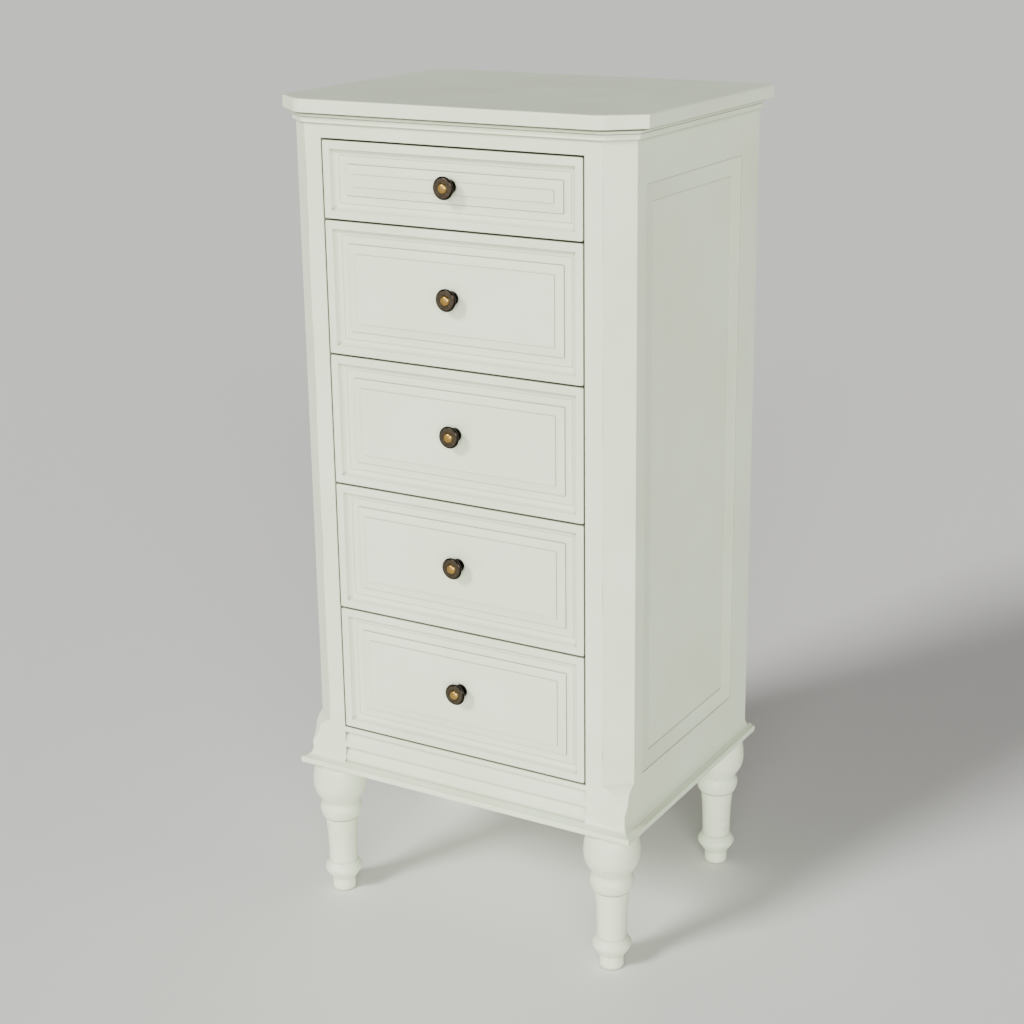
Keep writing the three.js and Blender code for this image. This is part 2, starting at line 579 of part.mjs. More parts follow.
// ---------------------------------------------------------------- drawers
const FRONT_HALF = HALF_OPENING - GAP_SIDE;
const pitPrism = (lo, hi, axis, from, to) => {
  const start = FRONT_BORDER;
  const deep = FRONT_COVE;
  // quarter cove: it drops away square from the border and flattens on to the band
  const rise = arc(start + deep, 0, deep, 180, 270, 6).map(([inset, v]) => [inset, -v]);
  const low = rise.map(([inset, depth]) => [depth, lo + inset]);
  const high = rise.map(([inset, depth]) => [depth, hi - inset]).reverse();
  const section = [[-PAST, lo + start], ...low, ...high, [-PAST, hi - start]];
  if (axis === "x") return alongX(section, from, to);
  return alongZ(section.map(([y, x]) => [x, y]), from, to);
};
const fieldPrism = (lo, hi, axis, from, to) => {
  const start = FRONT_BORDER + FRONT_COVE + FLAT_BAND;
  const base = FRONT_COVE + PAST;
  const rise = [
    [start, base],
    [start, FRONT_COVE - FIELD_STEP],
    [start + FIELD_SLOPE, FIELD_DEPTH + FIELD_STEP],
    [start + FIELD_SLOPE, FIELD_DEPTH],
  ];
  const low = rise.map(([inset, depth]) => [depth, lo + inset]);
  const high = rise.map(([inset, depth]) => [depth, hi - inset]).reverse();
  const section = [...low, ...high];
  if (axis === "x") return alongX(section, from, to);
  return alongZ(section.map(([y, x]) => [x, y]), from, to);
};

// turned knob on its rose, with the screw that holds it from inside; heights are from the field
const knobProfile = [
  ...swell([[0, KNOB_REACH], [5.6, KNOB_REACH - 1.3], [KNOB_CROWN, KNOB_REACH - 3.3]], 4),
  ...swell([
    [KNOB_CROWN + 0.6, KNOB_REACH - 3.4], [12.2, KNOB_REACH - 3.2],
    [KNOB_RADIUS, KNOB_REACH - 5], [13.6, KNOB_REACH - 6.8],
  ], 6),
  ...swell([[9.8, 11.2], [6, 8.8], [KNOB_NECK, 5.6], [5.6, ROSE_THICK + 0.8]], 5),
  [ROSE_RADIUS - 0.6, ROSE_THICK],
  [ROSE_RADIUS, ROSE_THICK - 0.6],
  [ROSE_RADIUS, JOINT_GAP],
  [SCREW_RADIUS, JOINT_GAP],
  [SCREW_RADIUS, FIELD_DEPTH - FACE_THICK - JOINT_GAP],
  [SCREW_HEAD, FIELD_DEPTH - FACE_THICK - JOINT_GAP],
  [SCREW_HEAD - 0.5, FIELD_DEPTH - FACE_THICK - 0.7 * SCREW_HEAD_THICK],
  [0, FIELD_DEPTH - FACE_THICK - SCREW_HEAD_THICK - JOINT_GAP],
].reverse();
const knobTurning = turned(knobProfile, KNOB_SIDES);
knobTurning.rotateX(Math.PI / 2);
const knob = solid(knobTurning);
const knobBore = solid(new THREE.CylinderGeometry(
  SCREW_RADIUS + SCREW_CLEAR, SCREW_RADIUS + SCREW_CLEAR, 3 * FACE_THICK, KNOB_SIDES,
));

// each drawer is a group standing at the floor of its own share of the front
const BOX_Y1 = FRAME_BACK - REAR_CLEAR;
const BOX_INSIDE = BOX_HALF - BOX_SIDE;
const GROOVE_HALF = BOX_INSIDE + GROOVE_DEPTH;
const SIDE_LOW = WEB_TOP + SLIDE_CLEAR;
const BOTTOM_LOW = SIDE_LOW + BOTTOM_RAISE;
const BOTTOM_TOP = BOTTOM_LOW + BOX_BOTTOM;

const buildDrawer = (name, pitch, sideTop, group) => {
  const z0 = GAP_LEVEL / 2;
  const z1 = pitch - GAP_LEVEL / 2;
  const knobHeight = (z0 + z1) / 2 + KNOB_RAISE;

  // moulded front with a bore for the knob's screw and a groove for the bottom
  const board = box(-FRONT_HALF, FRONT_HALF, 0, FACE_THICK, z0, z1);
  const pit = pitPrism(z0, z1, "x", -FRONT_HALF - PAST, FRONT_HALF + PAST)
    .intersect(pitPrism(-FRONT_HALF, FRONT_HALF, "z", z0 - PAST, z1 + PAST));
  const field = fieldPrism(z0, z1, "x", -FRONT_HALF, FRONT_HALF)
    .intersect(fieldPrism(-FRONT_HALF, FRONT_HALF, "z", z0, z1));
  const frontGroove = box(
    -GROOVE_HALF, GROOVE_HALF, FACE_THICK - GROOVE_DEPTH, FACE_THICK + PAST,
    BOTTOM_LOW - JOINT_GAP, BOTTOM_TOP + JOINT_GAP,
  );
  const front = board.subtract(pit).add(field)
    .subtract(knobBore.translate([0, 0, knobHeight])).subtract(frontGroove);
  place(`${name}_front`, front, PAINT, group);
  place(`${name}_knob`, knob, BRONZE, group, [0, FIELD_DEPTH, knobHeight]);

  // grooved sides, back resting on the bottom, bottom slid in from behind
  const groove = box(
    BOX_INSIDE - PAST, GROOVE_HALF, FRAME_FRONT - PAST, BOX_Y1 + PAST,
    BOTTOM_LOW - JOINT_GAP, BOTTOM_TOP + JOINT_GAP,
  );
  const side = box(BOX_INSIDE, BOX_HALF, FRAME_FRONT, BOX_Y1, SIDE_LOW, sideTop).subtract(groove);
  place(`${name}_side_right`, side, RAW_WOOD, group);
  place(`${name}_side_left`, side.mirror([1, 0, 0]), RAW_WOOD, group);
  place(`${name}_back`, box(
    JOINT_GAP - BOX_INSIDE, BOX_INSIDE - JOINT_GAP, BOX_Y1 - BOX_SIDE, BOX_Y1,
    BOTTOM_TOP + JOINT_GAP, sideTop - BACK_LOWER,
  ), RAW_WOOD, group);
  place(`${name}_bottom`, box(
    JOINT_GAP - GROOVE_HALF, GROOVE_HALF - JOINT_GAP,
    FACE_THICK - GROOVE_DEPTH + JOINT_GAP, BOX_Y1, BOTTOM_LOW, BOTTOM_TOP,
  ), PLYWOOD, group);
};

let floor = OPENING_HEAD;
for (let number = 1; number <= DRAWER_COUNT; number += 1) {
  const pitch = number === 1 ? SHALLOW_PITCH : DEEP_PITCH;
  const sideTop = number === 1 ? SIDE_LOW + SHALLOW_SIDE : DEEP_PITCH - WEB_TOP - HEAD_ROOM;
  floor -= pitch;
  const drawer = new THREE.Group();
  drawer.position.z = floor;
  chest.add(drawer);
  buildDrawer(`drawer_${number}`, pitch, sideTop, drawer);
  place(`runner_frame_${number}`, runnerFrame, RAW_WOOD, carcass, [0, 0, floor]);
}

export default chest;
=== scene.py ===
# Tall painted chest of drawers: five drawers between canted corner posts, on turned legs.
import math
import bmesh
import bpy
from mathutils import Matrix, Vector


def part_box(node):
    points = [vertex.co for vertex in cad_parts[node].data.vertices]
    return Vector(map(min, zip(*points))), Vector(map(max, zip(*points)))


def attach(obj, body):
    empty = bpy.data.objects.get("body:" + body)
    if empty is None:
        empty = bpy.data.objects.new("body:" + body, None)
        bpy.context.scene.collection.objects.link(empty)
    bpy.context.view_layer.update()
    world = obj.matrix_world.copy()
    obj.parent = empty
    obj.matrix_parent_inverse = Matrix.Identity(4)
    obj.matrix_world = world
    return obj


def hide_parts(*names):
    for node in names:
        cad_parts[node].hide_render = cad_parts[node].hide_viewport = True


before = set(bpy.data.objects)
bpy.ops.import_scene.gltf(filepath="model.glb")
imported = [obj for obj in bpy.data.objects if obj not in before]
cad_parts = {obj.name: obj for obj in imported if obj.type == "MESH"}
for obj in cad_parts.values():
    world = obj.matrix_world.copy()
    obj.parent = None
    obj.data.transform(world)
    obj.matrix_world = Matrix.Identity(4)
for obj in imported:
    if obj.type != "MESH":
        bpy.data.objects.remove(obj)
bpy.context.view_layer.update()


# ---- top board ------------------------------------------------------------------------------
# A 17 mm solid board, its front corners cut to the cants and its upper edge rounded over.
# Outside, the whole chest has one finish: satin acrylic enamel sprayed over primed wood, with
# a brown glaze wiped into the joints and quirks; the same brown is also painted shade that
# darkens the colour in every hollow, step and gap.

def linear(hex_colour):
    """sRGB hex to the linear values that a shader takes."""
    channels = [int(hex_colour[i:i + 2], 16) / 255 for i in (1, 3, 5)]
    return (*[c / 12.92 if c <= 0.04045 else ((c + 0.055) / 1.055) ** 2.4 for c in channels], 1)


def node(material, kind, settings=None, links=None):
    """Adds one shader node, sets its values and joins its inputs to other nodes' outputs."""
    made = material.node_tree.nodes.new(kind)
    for name, value in (settings or {}).items():
        if isinstance(name, str) and hasattr(made, name):
            setattr(made, name, value)
        else:
            made.inputs[name].default_value = value
    for name, source in (links or {}).items():
        material.node_tree.links.new(source, made.inputs[name])
    return made


def new_material(name):
    material = bpy.data.materials.new(name)
    material.use_nodes = True
    material.node_tree.nodes.clear()
    return material


def finish_material(material, shader):
    node(material, "ShaderNodeOutputMaterial", links={"Surface": shader.outputs[0]})
    return material


def per_mm(size):
    """A pattern's scale from the real size of one of its cells in millimetres."""
    return 1000 / size


# the sockets of a Mix node that blends colours: its share, its two colours and its result
SHARE, FIRST, SECOND, BLEND = 0, 6, 7, 2
CLOUD, SANDING = 140, 26
# orange peel is about 1 mm across, too fine to show, and is drawn three times as coarse
PEEL = 3.2
CRACK_CELL, CRACK_SQUEEZE, CRACK_PATCH = 34, 2.4, 60


def satin_enamel(name, cracked=False):
    """Satin acrylic enamel, sprayed: an even off-white with a soft sheen and a faint orange
    peel, a little yellower where the coat is thin, and brown glaze left in the quirks,
    drawn with painted shade that darkens every hollow, step and gap towards that brown."""
    material = new_material(name)
    place = node(material, "ShaderNodeTexCoord").outputs["Object"]
    cloud = node(material, "ShaderNodeTexNoise", {"Scale": per_mm(CLOUD), "Detail": 4.0},
                 {"Vector": place}).outputs["Fac"]
    thin = node(material, "ShaderNodeMapRange", {"From Min": 0.35, "From Max": 0.68},
                {"Value": cloud}).outputs[0]
    coat = node(material, "ShaderNodeMix",
                {"data_type": "RGBA", FIRST: linear("#e7f3d4"), SECOND: linear("#e1ebcb")},
                {SHARE: thin}).outputs[BLEND]
    # painted shade: ambient occlusion darkens the colour towards brown in hollows, steps and
    # gaps, standing for shade there as well as for glaze left in the quirks
    hollow = node(material, "ShaderNodeAmbientOcclusion", {"samples": 8, "Distance": 0.006})
    glaze_and_painted_shade = node(material, "ShaderNodeMapRange",
                  {"From Min": 0.96, "From Max": 0.12, "To Max": 0.95},
                  {"Value": hollow.outputs["AO"]}).outputs[0]
    colour = node(material, "ShaderNodeMix", {"data_type": "RGBA", SECOND: linear("#5f5341")},
                  {SHARE: glaze_and_painted_shade, FIRST: coat}).outputs[BLEND]
    peel = node(material, "ShaderNodeTexNoise", {"Scale": per_mm(PEEL), "Detail": 2.0},
                {"Vector": place}).outputs["Fac"]
    sanded = node(material, "ShaderNodeTexNoise", {"Scale": per_mm(SANDING), "Detail": 3.0},
                  {"Vector": place}).outputs["Fac"]
    relief = node(material, "ShaderNodeMath", {"operation": "MULTIPLY_ADD", 1: 1.6},
                  {0: sanded, 2: peel}).outputs[0]
    if cracked:
        # hairline cracks, mostly round the turning, in a few patches of it
        squeezed = node(material, "ShaderNodeMapping", {"Scale": (1, 1, CRACK_SQUEEZE)},
                        {"Vector": place}).outputs[0]
        cell = node(material, "ShaderNodeTexVoronoi",
                    {"feature": "DISTANCE_TO_EDGE", "Scale": per_mm(CRACK_CELL)},
                    {"Vector": squeezed}).outputs["Distance"]
        patch = node(material, "ShaderNodeTexNoise", {"Scale": per_mm(CRACK_PATCH)},
                     {"Vector": place}).outputs["Fac"]
        line = node(material, "ShaderNodeMapRange", {"From Min": 0.012, "From Max": 0.004},
                    {"Value": cell}).outputs[0]
        where = node(material, "ShaderNodeMapRange",
                     {"From Min": 0.56, "From Max": 0.62, "To Max": 0.5},
                     {"Value": patch}).outputs[0]
        shown = node(material, "ShaderNodeMath", {"operation": "MULTIPLY"},
                     {0: line, 1: where}).outputs[0]
        colour = node(material, "ShaderNodeMix",
                      {"data_type": "RGBA", SECOND: linear("#8d7c60")},
                      {SHARE: shown, FIRST: colour}).outputs[BLEND]
    bump = node(material, "ShaderNodeBump", {"Strength": 0.10, "Distance": 0.00025},
                {"Height": relief}).outputs[0]
    gloss = node(material, "ShaderNodeMapRange",
                 {"From Min": 0.3, "From Max": 0.7, "To Min": 0.36, "To Max": 0.44},
                 {"Value": cloud}).outputs[0]
    shader = node(material, "ShaderNodeBsdfPrincipled", {"IOR": 1.49},
                  {"Base Color": colour, "Roughness": gloss, "Normal": bump})
    return finish_material(material, shader)


enamel = satin_enamel("satin_enamel_off_white")


def corners(name):
    """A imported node's lowest and highest corner, in millimetres."""
    low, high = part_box(name)
    return low * 1000, high * 1000


def arc(u, v, radius, start, end, steps):
    """Points of an arc in a section, angles in degrees."""
    turns = [math.radians(start + (end - start) * i / steps) for i in range(steps + 1)]
    return [(u + radius * math.cos(a), v + radius * math.sin(a)) for a in turns]


# points closer than this many millimetres are one, edges bent by more degrees stay crisp
WELD, CRISP = 0.004, 38


def piece(name, solid, material, body, packed):
    """Makes a mesh piece from a filled bmesh in millimetres, smooth but for its crisp edges,
    and hands it to the body that it moves with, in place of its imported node."""
    mesh = bpy.data.meshes.new(name)
    bmesh.ops.remove_doubles(solid, verts=solid.verts, dist=WELD)
    bmesh.ops.dissolve_degenerate(solid, edges=solid.edges, dist=WELD)
    bmesh.ops.recalc_face_normals(solid, faces=solid.faces)
    bmesh.ops.scale(solid, vec=(0.001, 0.001, 0.001), verts=solid.verts)
    for face in solid.faces:
        face.smooth = True
    for edge in solid.edges:
        edge.smooth = edge.calc_face_angle(0) < math.radians(CRISP)
    solid.to_mesh(mesh)
    solid.free()
    made = bpy.data.objects.new(name, mesh)
    bpy.context.scene.collection.objects.link(made)
    mesh.materials.append(material)
    weighted = made.modifiers.new("flat_faces_stay_flat", "WEIGHTED_NORMAL")
    weighted.keep_sharp = True
    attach(made, body)
    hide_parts(packed)
    return made


def skin(solid, rings):
    """Joins each ring of points to the next, all the way round."""
    for low, high in zip(rings, rings[1:]):
        for i in range(len(low)):
            j = (i + 1) % len(low)
            solid.faces.new((low[i], low[j], high[j], high[i]))


def loft(rings):
    """A closed solid through rings of points, each ring with as many points as the last."""
    solid = bmesh.new()
    made = [[solid.verts.new(point) for point in ring] for ring in rings]
    skin(solid, made)
    solid.faces.new(list(reversed(made[0])))
    solid.faces.new(made[-1])
    return solid


JOINT_PLAY = 0.15
CANT_DEPTH = 26
BEND_RADIUS = 16.5
TOP_OVER_CANT = 13.5
TOP_ROUND, TOP_EASE, TOP_BACK_EASE = 2.5, 1.2, 1.5
top_low, top_high = corners("top_panel")
case_side = corners("side_rail_top_right")[1].x
case_front = corners("front_rail_top")[0].y
case_back = corners("rear_post_right")[1].y
case_head = top_low.z
face_half = corners("face_stile_right")[1].x + JOINT_PLAY
cant_turn = math.atan2(face_half - case_side, CANT_DEPTH)
cant_reach = face_half * math.cos(cant_turn)


def moulded_line(over_side, over_cant, over_front, steps):
    """The plan line of the moulded front, from the right side round to the left side."""
    front_turn = -math.pi / 2
    centre = face_half - BEND_RADIUS * math.tan((cant_turn - front_turn) / 2)
    side = case_side + over_side
    along = (cant_reach + over_cant - side * math.cos(cant_turn)) / math.sin(cant_turn)
    right = [(side, along)]
    for i in range(steps + 1):
        share = i / steps
        turn = cant_turn + (front_turn - cant_turn) * share
        radius = BEND_RADIUS + over_cant + (over_front - over_cant) * share
        right.append((centre + radius * math.cos(turn), BEND_RADIUS + radius * math.sin(turn)))
    line = right + [(-x, y) for x, y in reversed(right)]
    return [(x, y + case_front) for x, y in line]


over_side = top_high.x - case_side
over_front = case_front - top_low.y
top_profile = arc(-TOP_EASE, top_low.z + TOP_EASE, TOP_EASE, -90, 0, 4)
top_profile += arc(-TOP_ROUND, top_high.z - TOP_ROUND, TOP_ROUND, 0, 90, 8)


def top_ring(out, z):
    line = moulded_line(over_side + out, TOP_OVER_CANT + out, over_front + out, 16)
    half, back = line[0][0], top_high.y
    ring = [(half - TOP_BACK_EASE, back), (half, back - TOP_BACK_EASE)] + line
    ring += [(-half, back - TOP_BACK_EASE), (TOP_BACK_EASE - half, back)]
    return [(x, y, z) for x, y in ring]


piece("top_board", loft([top_ring(out, z) for out, z in top_profile]), enamel, "carcass",
      "top_panel")


# ---- cornice --------------------------------------------------------------------------------
# Three lengths of softwood moulding, a bead over a hollowed band, mitred round the cants and
# glued under the top board.
CORNICE_FOOT, CORNICE_OVER, BAND_HOLLOW, BAND_STEPS = 4.4, 6.6, 0.7, 10
BEAD, BEAD_DROP, QUIRK = 2.1, 1.7, 0.8
HAIR = 0.05  # kept between faces that would otherwise lie in one plane
cornice_low = corners("cornice_front")[0].z
bead_top = case_head - BEAD_DROP
bead_foot = bead_top - 2 * BEAD
band_low, band_high = cornice_low + 0.4, bead_foot - QUIRK
cornice_profile = [(HAIR, cornice_low), (CORNICE_FOOT - 0.4, cornice_low)]
cornice_profile += [(CORNICE_FOOT - BAND_HOLLOW * math.sin(math.pi * i / BAND_STEPS),
                     band_low + (band_high - band_low) * i / BAND_STEPS)
                    for i in range(BAND_STEPS + 1)]
cornice_profile += [(CORNICE_FOOT - 0.9, band_high + 0.1),
                    (CORNICE_FOOT - 1.1, bead_foot - 0.05)]
cornice_profile += arc(CORNICE_OVER - BEAD, bead_foot + BEAD, BEAD, -90, 90, 16)
cornice_profile += [(CORNICE_OVER - BEAD - 1, bead_top),
                    (CORNICE_OVER - BEAD - 1, case_head - HAIR), (HAIR, case_head - HAIR)]
cornice_lines = [moulded_line(out, out, out, 14) for out, _ in cornice_profile]


def cornice_station(index):
    """The moulding's section at one point of its run."""
    return [(*line[index], z) for line, (_, z) in zip(cornice_lines, cornice_profile)]


stations = [cornice_station(i) for i in range(len(cornice_lines[0]))]
right_back = [(x, case_back, z) for x, _, z in stations[0]]
left_back = [(x, case_back, z) for x, _, z in stations[-1]]
for word, run in (("front", stations), ("right", [right_back, stations[0]]),
                  ("left", [stations[-1], left_back])):
    piece(f"cornice_moulding_{word}", loft(run), enamel, "carcass",
          f"cornice_{word}")


# ---- corner posts ---------------------------------------------------------------------------
# Solid posts, the outer corner planed off to a cant that runs out in an ogee near the foot.
# The square foot is coved outwards to meet the base board, and here and there a hairline has
# opened between a post and its stile.
FLARE_RADIUS, FLARE_SINK, FLARE_STEPS = 12, 2.5, 12
STOP_TOP, STOP_HEIGHT = 264, 42
SQUARE = 2.0  # far enough out for the corner to be whole
SIDE_POST = 49.15
ARRIS = 0.55
SEAM_LOW, SEAM_HIGH, SEAM_STEP = 291, 1028, 11
SEAM_HALF, SEAM_WAVE, SEAM_RIPPLE = 0.40, 37, 11.3
base_low, base_high = corners("base_board")
base_over = base_high.x - case_side
base_top = base_high.z
flare_top = base_top - FLARE_SINK + FLARE_RADIUS
cant_gain = case_side * math.cos(cant_turn) - cant_reach


def swell(points, steps):
    """A smooth curve through a few points of a section."""
    last = len(points) - 1
    line = []
    for i in range(steps + 1):
        whole = i / steps * last
        k = min(int(whole), last - 1)
        t = whole - k
        near = [points[min(max(k + step, 0), last)] for step in (-1, 0, 1, 2)]
        line.append(tuple(
            b + t * ((c - a) / 2
                     + t * ((2 * a - 5 * b + 4 * c - d) / 2 + t * (3 * b - a - 3 * c + d) / 2))
            for a, b, c, d in zip(*near)))
    return line


def flare(z):
    """How far the foot of the case stands out at a height."""
    drop = min(max(flare_top - z, 0), FLARE_RADIUS - 0.01)
    return FLARE_RADIUS - math.sqrt(FLARE_RADIUS ** 2 - drop ** 2)


def seam(z):
    """Half the width of the hairline that has opened here and there beside the stile."""
    if not SEAM_LOW < z <= SEAM_HIGH:
        return 0
    opening = math.sin(z / SEAM_WAVE) + 0.6 * math.sin(z / SEAM_RIPPLE) - 0.15
    return SEAM_HALF * max(0.0, opening) ** 0.5


def post_ring(z, out):
    """A post's section at a height; out is 0 on the cant and 1 or more at a whole corner."""
    f = flare(z)
    side = case_side + f
    reach = cant_reach + out * cant_gain
    front_x = (reach + f * math.sin(cant_turn)) / math.cos(cant_turn)
    side_y = (reach - side * math.cos(cant_turn)) / math.sin(cant_turn)
    front_x = min(front_x, side - 2 * ARRIS)
    side_y = max(side_y, 2 * ARRIS - f)
    slope = Vector((side - front_x, side_y + f)).normalized() * ARRIS * 0.8
    lip = slope.normalized() * seam(z)
    ring = [(face_half, 2 * lip.length - f),
            (max(front_x - ARRIS, face_half) + lip.x, lip.y - f),
            (front_x + slope.x, slope.y - f), (side - slope.x, side_y - slope.y),
            (side, side_y + ARRIS), (side, SIDE_POST), (face_half, SIDE_POST)]
    return [(x, y + case_front, z) for x, y in ring]


def mirrored(rings):
    return [[(-x, y, z) for x, y, z in ring] for ring in rings]


HANDS = (("right", list), ("left", mirrored))
flare_heights = [base_top + (flare_top - base_top) * i / FLARE_STEPS
                 for i in range(FLARE_STEPS + 1)]
seam_heights = [SEAM_LOW + SEAM_STEP * i
                for i in range(int((SEAM_HIGH - SEAM_LOW) / SEAM_STEP) + 1)]
stop_curve = swell([(1.0, 1.03), (0.86, 0.95), (0.66, 0.74), (0.48, 0.625), (0.29, 0.55),
                    (0.12, 0.31), (0, 0)], 42)
post_levels = [(z, SQUARE) for z in flare_heights]
post_levels += [(STOP_TOP - down * STOP_HEIGHT, out) for down, out in stop_curve]
post_levels += [(z, 0) for z in seam_heights + [case_head - HAIR]]
post_rings = [post_ring(z, out) for z, out in post_levels]
for word, hand in HANDS:
    piece(f"canted_post_{word}", loft(hand(post_rings)), enamel, "carcass",
          f"corner_post_{word}")


# ---- rear posts and side rails --------------------------------------------------------------
# Square posts and rails, mortised together and sanded flush, so that the paint hides their
# joints. The posts carry a rebate for the back. The side panel's tongue runs in a groove all
# round, and its sloped border ends in a fine step.
REBATE, REAR_POST, RAIL_THICK = 8, 55, 20
TONGUE, TONGUE_PLAY, GROOVE_WIDTH, GROOVE_DEPTH = 5.7, 0.3, 6, 6
PANEL_SINK, PANEL_BEVEL = 4, 23
panel_low, panel_high = corners("side_panel_right")
rail_top_z = corners("side_rail_bottom_right")[1].z
groove_in = panel_low.x - TONGUE_PLAY
groove_out = groove_in + GROOVE_WIDTH
rear_front = case_back - REAR_POST + JOINT_PLAY


def rear_ring(z):
    edge = case_side + flare(z)
    ring = [(face_half, rear_front), (edge, rear_front), (edge, case_back - 1),
            (edge - 0.3, case_back - 0.3), (edge - 1, case_back),
            (face_half + REBATE + 0.5, case_back), (face_half + REBATE, case_back - 0.5),
            (face_half + REBATE, case_back - REBATE), (face_half, case_back - REBATE)]
    return [(x, y, z) for x, y in ring]


rear_rings = [rear_ring(z) for z in flare_heights + [case_head - HAIR]]
lower_rail = [(case_side - RAIL_THICK, base_top)]
lower_rail += [(case_side + flare(z), z) for z in flare_heights]
lower_rail += [(case_side, rail_top_z - 0.4), (case_side - 0.4, rail_top_z),
               (groove_out, rail_top_z), (groove_out, rail_top_z - GROOVE_DEPTH),
               (groove_in, rail_top_z - GROOVE_DEPTH), (groove_in, rail_top_z),
               (case_side - RAIL_THICK, rail_top_z)]
lower_rings = [[(x, y, z) for x, z in lower_rail] for y in (case_front + SIDE_POST, rear_front)]


def panel_ring(inset, x):
    """The side panel's outline, so far in from the end of its tongue, at one depth."""
    low_y, high_y = panel_low.y + inset, panel_high.y - inset
    low_z, high_z = panel_low.z + inset, panel_high.z - inset
    return [(x, low_y, low_z), (x, high_y, low_z), (x, high_y, high_z), (x, low_y, high_z)]


tongue_out = groove_out - 2 * TONGUE_PLAY
bevel_end = TONGUE + PANEL_BEVEL
field_out = case_side - PANEL_SINK
panel_profile = [(0, panel_low.x), (0, tongue_out), (TONGUE, tongue_out),
                 (TONGUE, panel_high.x - 0.3), (TONGUE + 0.3, panel_high.x),
                 (TONGUE + 1.2, panel_high.x), (TONGUE + 1.6, panel_high.x - 0.4),
                 (bevel_end - 0.7, field_out + 0.7), (bevel_end - 0.4, field_out - 0.3),
                 (bevel_end, field_out - 0.3), (bevel_end + 0.3, field_out)]
panel_rings = [panel_ring(inset, x) for inset, x in panel_profile]


def dress(name, material):
    """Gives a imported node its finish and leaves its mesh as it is."""
    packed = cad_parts[name]
    packed.data.materials.clear()
    packed.data.materials.append(material)


for word, hand in HANDS:
    piece(f"back_post_{word}", loft(hand(rear_rings)), enamel, "carcass",
          f"rear_post_{word}")
    piece(f"side_lower_rail_{word}", loft(hand(lower_rings)), enamel, "carcass",
          f"side_rail_bottom_{word}")
    piece(f"bevelled_side_panel_{word}", loft(hand(panel_rings)), enamel, "carcass",
          f"side_panel_{word}")
    dress(f"side_rail_top_{word}", enamel)


# ---- face stiles and front rails ------------------------------------------------------------
# Narrow stiles and two rails that frame the drawers, doweled to the posts. The lower rail has
# two coved steps cut along it, like lapped boards.
STILE_WIDTH = 24
EDGE = 0.5
STEP_BELOW = (30.5, 8)
STEP_DROP, STEP_DEPTH, STEP_LIP, COVE_STEPS = 20, 5, 2.5, 16
half_opening = face_half - STILE_WIDTH
face_thick = corners("front_rail_top")[1].y - case_front
rail_low = corners("front_rail_top")[0].z
bottom_head = corners("front_rail_bottom")[1].z


def stile_ring(z):
    """A stile's section at a height: its inner edge is eased where it borders the drawers."""
    f = flare(z)
    groove = seam(z)
    ease = EDGE if bottom_head < z < rail_low else 0
    ring = [(half_opening, face_thick), (half_opening, ease - f), (half_opening + ease, -f),
            (face_half - groove, -f), (face_half, groove - f), (face_half, face_thick)]
    return [(x, y + case_front, z) for x, y in ring]


ease_ends = [bottom_head - 0.1, bottom_head + 0.5, rail_low - 0.5, rail_low + 0.1]
stile_heights = sorted(flare_heights + seam_heights + ease_ends + [case_head - HAIR])
stile_rings = [stile_ring(z) for z in stile_heights]
for word, hand in HANDS:
    piece(f"drawer_stile_{word}", loft(hand(stile_rings)), enamel, "carcass",
          f"face_stile_{word}")

lowest_cove = bottom_head - STEP_BELOW[0] - STEP_DROP
front_foot = [(face_thick, base_top)]
front_foot += [(-flare(z), z) for z in flare_heights if z < lowest_cove]
for below in STEP_BELOW:
    head = bottom_head - below
    front_foot += [(STEP_DEPTH * (i / COVE_STEPS) ** 2,
                    head - STEP_DROP + (STEP_DROP - STEP_LIP) * i / COVE_STEPS)
                   for i in range(COVE_STEPS + 1)]
    front_foot += swell([(STEP_DEPTH * 0.8, head - 1), (STEP_DEPTH * 0.3, head),
                         (0, head + 1)], 6)
front_foot += [(0, bottom_head - EDGE), (EDGE, bottom_head), (face_thick, bottom_head)]
front_head = [(face_thick, rail_low), (EDGE, rail_low), (0, rail_low + EDGE),
              (0, case_head - HAIR), (face_thick, case_head - HAIR)]
for name, section, packed in (("coved_lower_rail", front_foot, "front_rail_bottom"),
                              ("frieze_rail", front_head, "front_rail_top")):
    ends = [[(x, y + case_front, z) for y, z in section] for x in (-half_opening, half_opening)]
    piece(name, loft(ends), enamel, "carcass", packed)


# ---- base board -----------------------------------------------------------------------------
# One board under the case, bored for the legs' tenons, with a soft nose and a cove that
# carries on from the foot of the case.
NOSE, NOSE_TOP, COVE_QUIRK, BOARD_CORNER, CORNER_CUT = 2, 0.8, 0.45, 0.9, 0.26
cove_stop = flare_top - math.sqrt(FLARE_RADIUS ** 2 - 1)
cove_top = base_top - COVE_QUIRK
base_profile = arc(base_over - NOSE, base_low.z + NOSE, NOSE, -90, 0, 6)
base_profile += arc(base_over - NOSE_TOP, cove_stop - NOSE_TOP, NOSE_TOP, 0, 70, 4)
cove_heights = [cove_stop + (cove_top - cove_stop) * i / 6 for i in range(7)]
base_profile += [(flare(z), z) for z in cove_heights]
base_profile += [(flare(cove_top) - 0.5, cove_top + 0.1), (flare(cove_top) - 0.5, base_top)]


def base_ring(out, z):
    half, front, back = case_side + out, case_front - out, base_high.y
    ring = [(half - BOARD_CORNER, front), (half - CORNER_CUT, front + CORNER_CUT),
            (half, front + BOARD_CORNER), (half, back - BOARD_CORNER),
            (half - BOARD_CORNER, back)]
    ring += [(-x, y) for x, y in reversed(ring)]
    return [(x, y, z) for x, y in ring]


piece("moulded_base_board", loft([base_ring(out, z) for out, z in base_profile]), enamel,
      "carcass", "base_board")


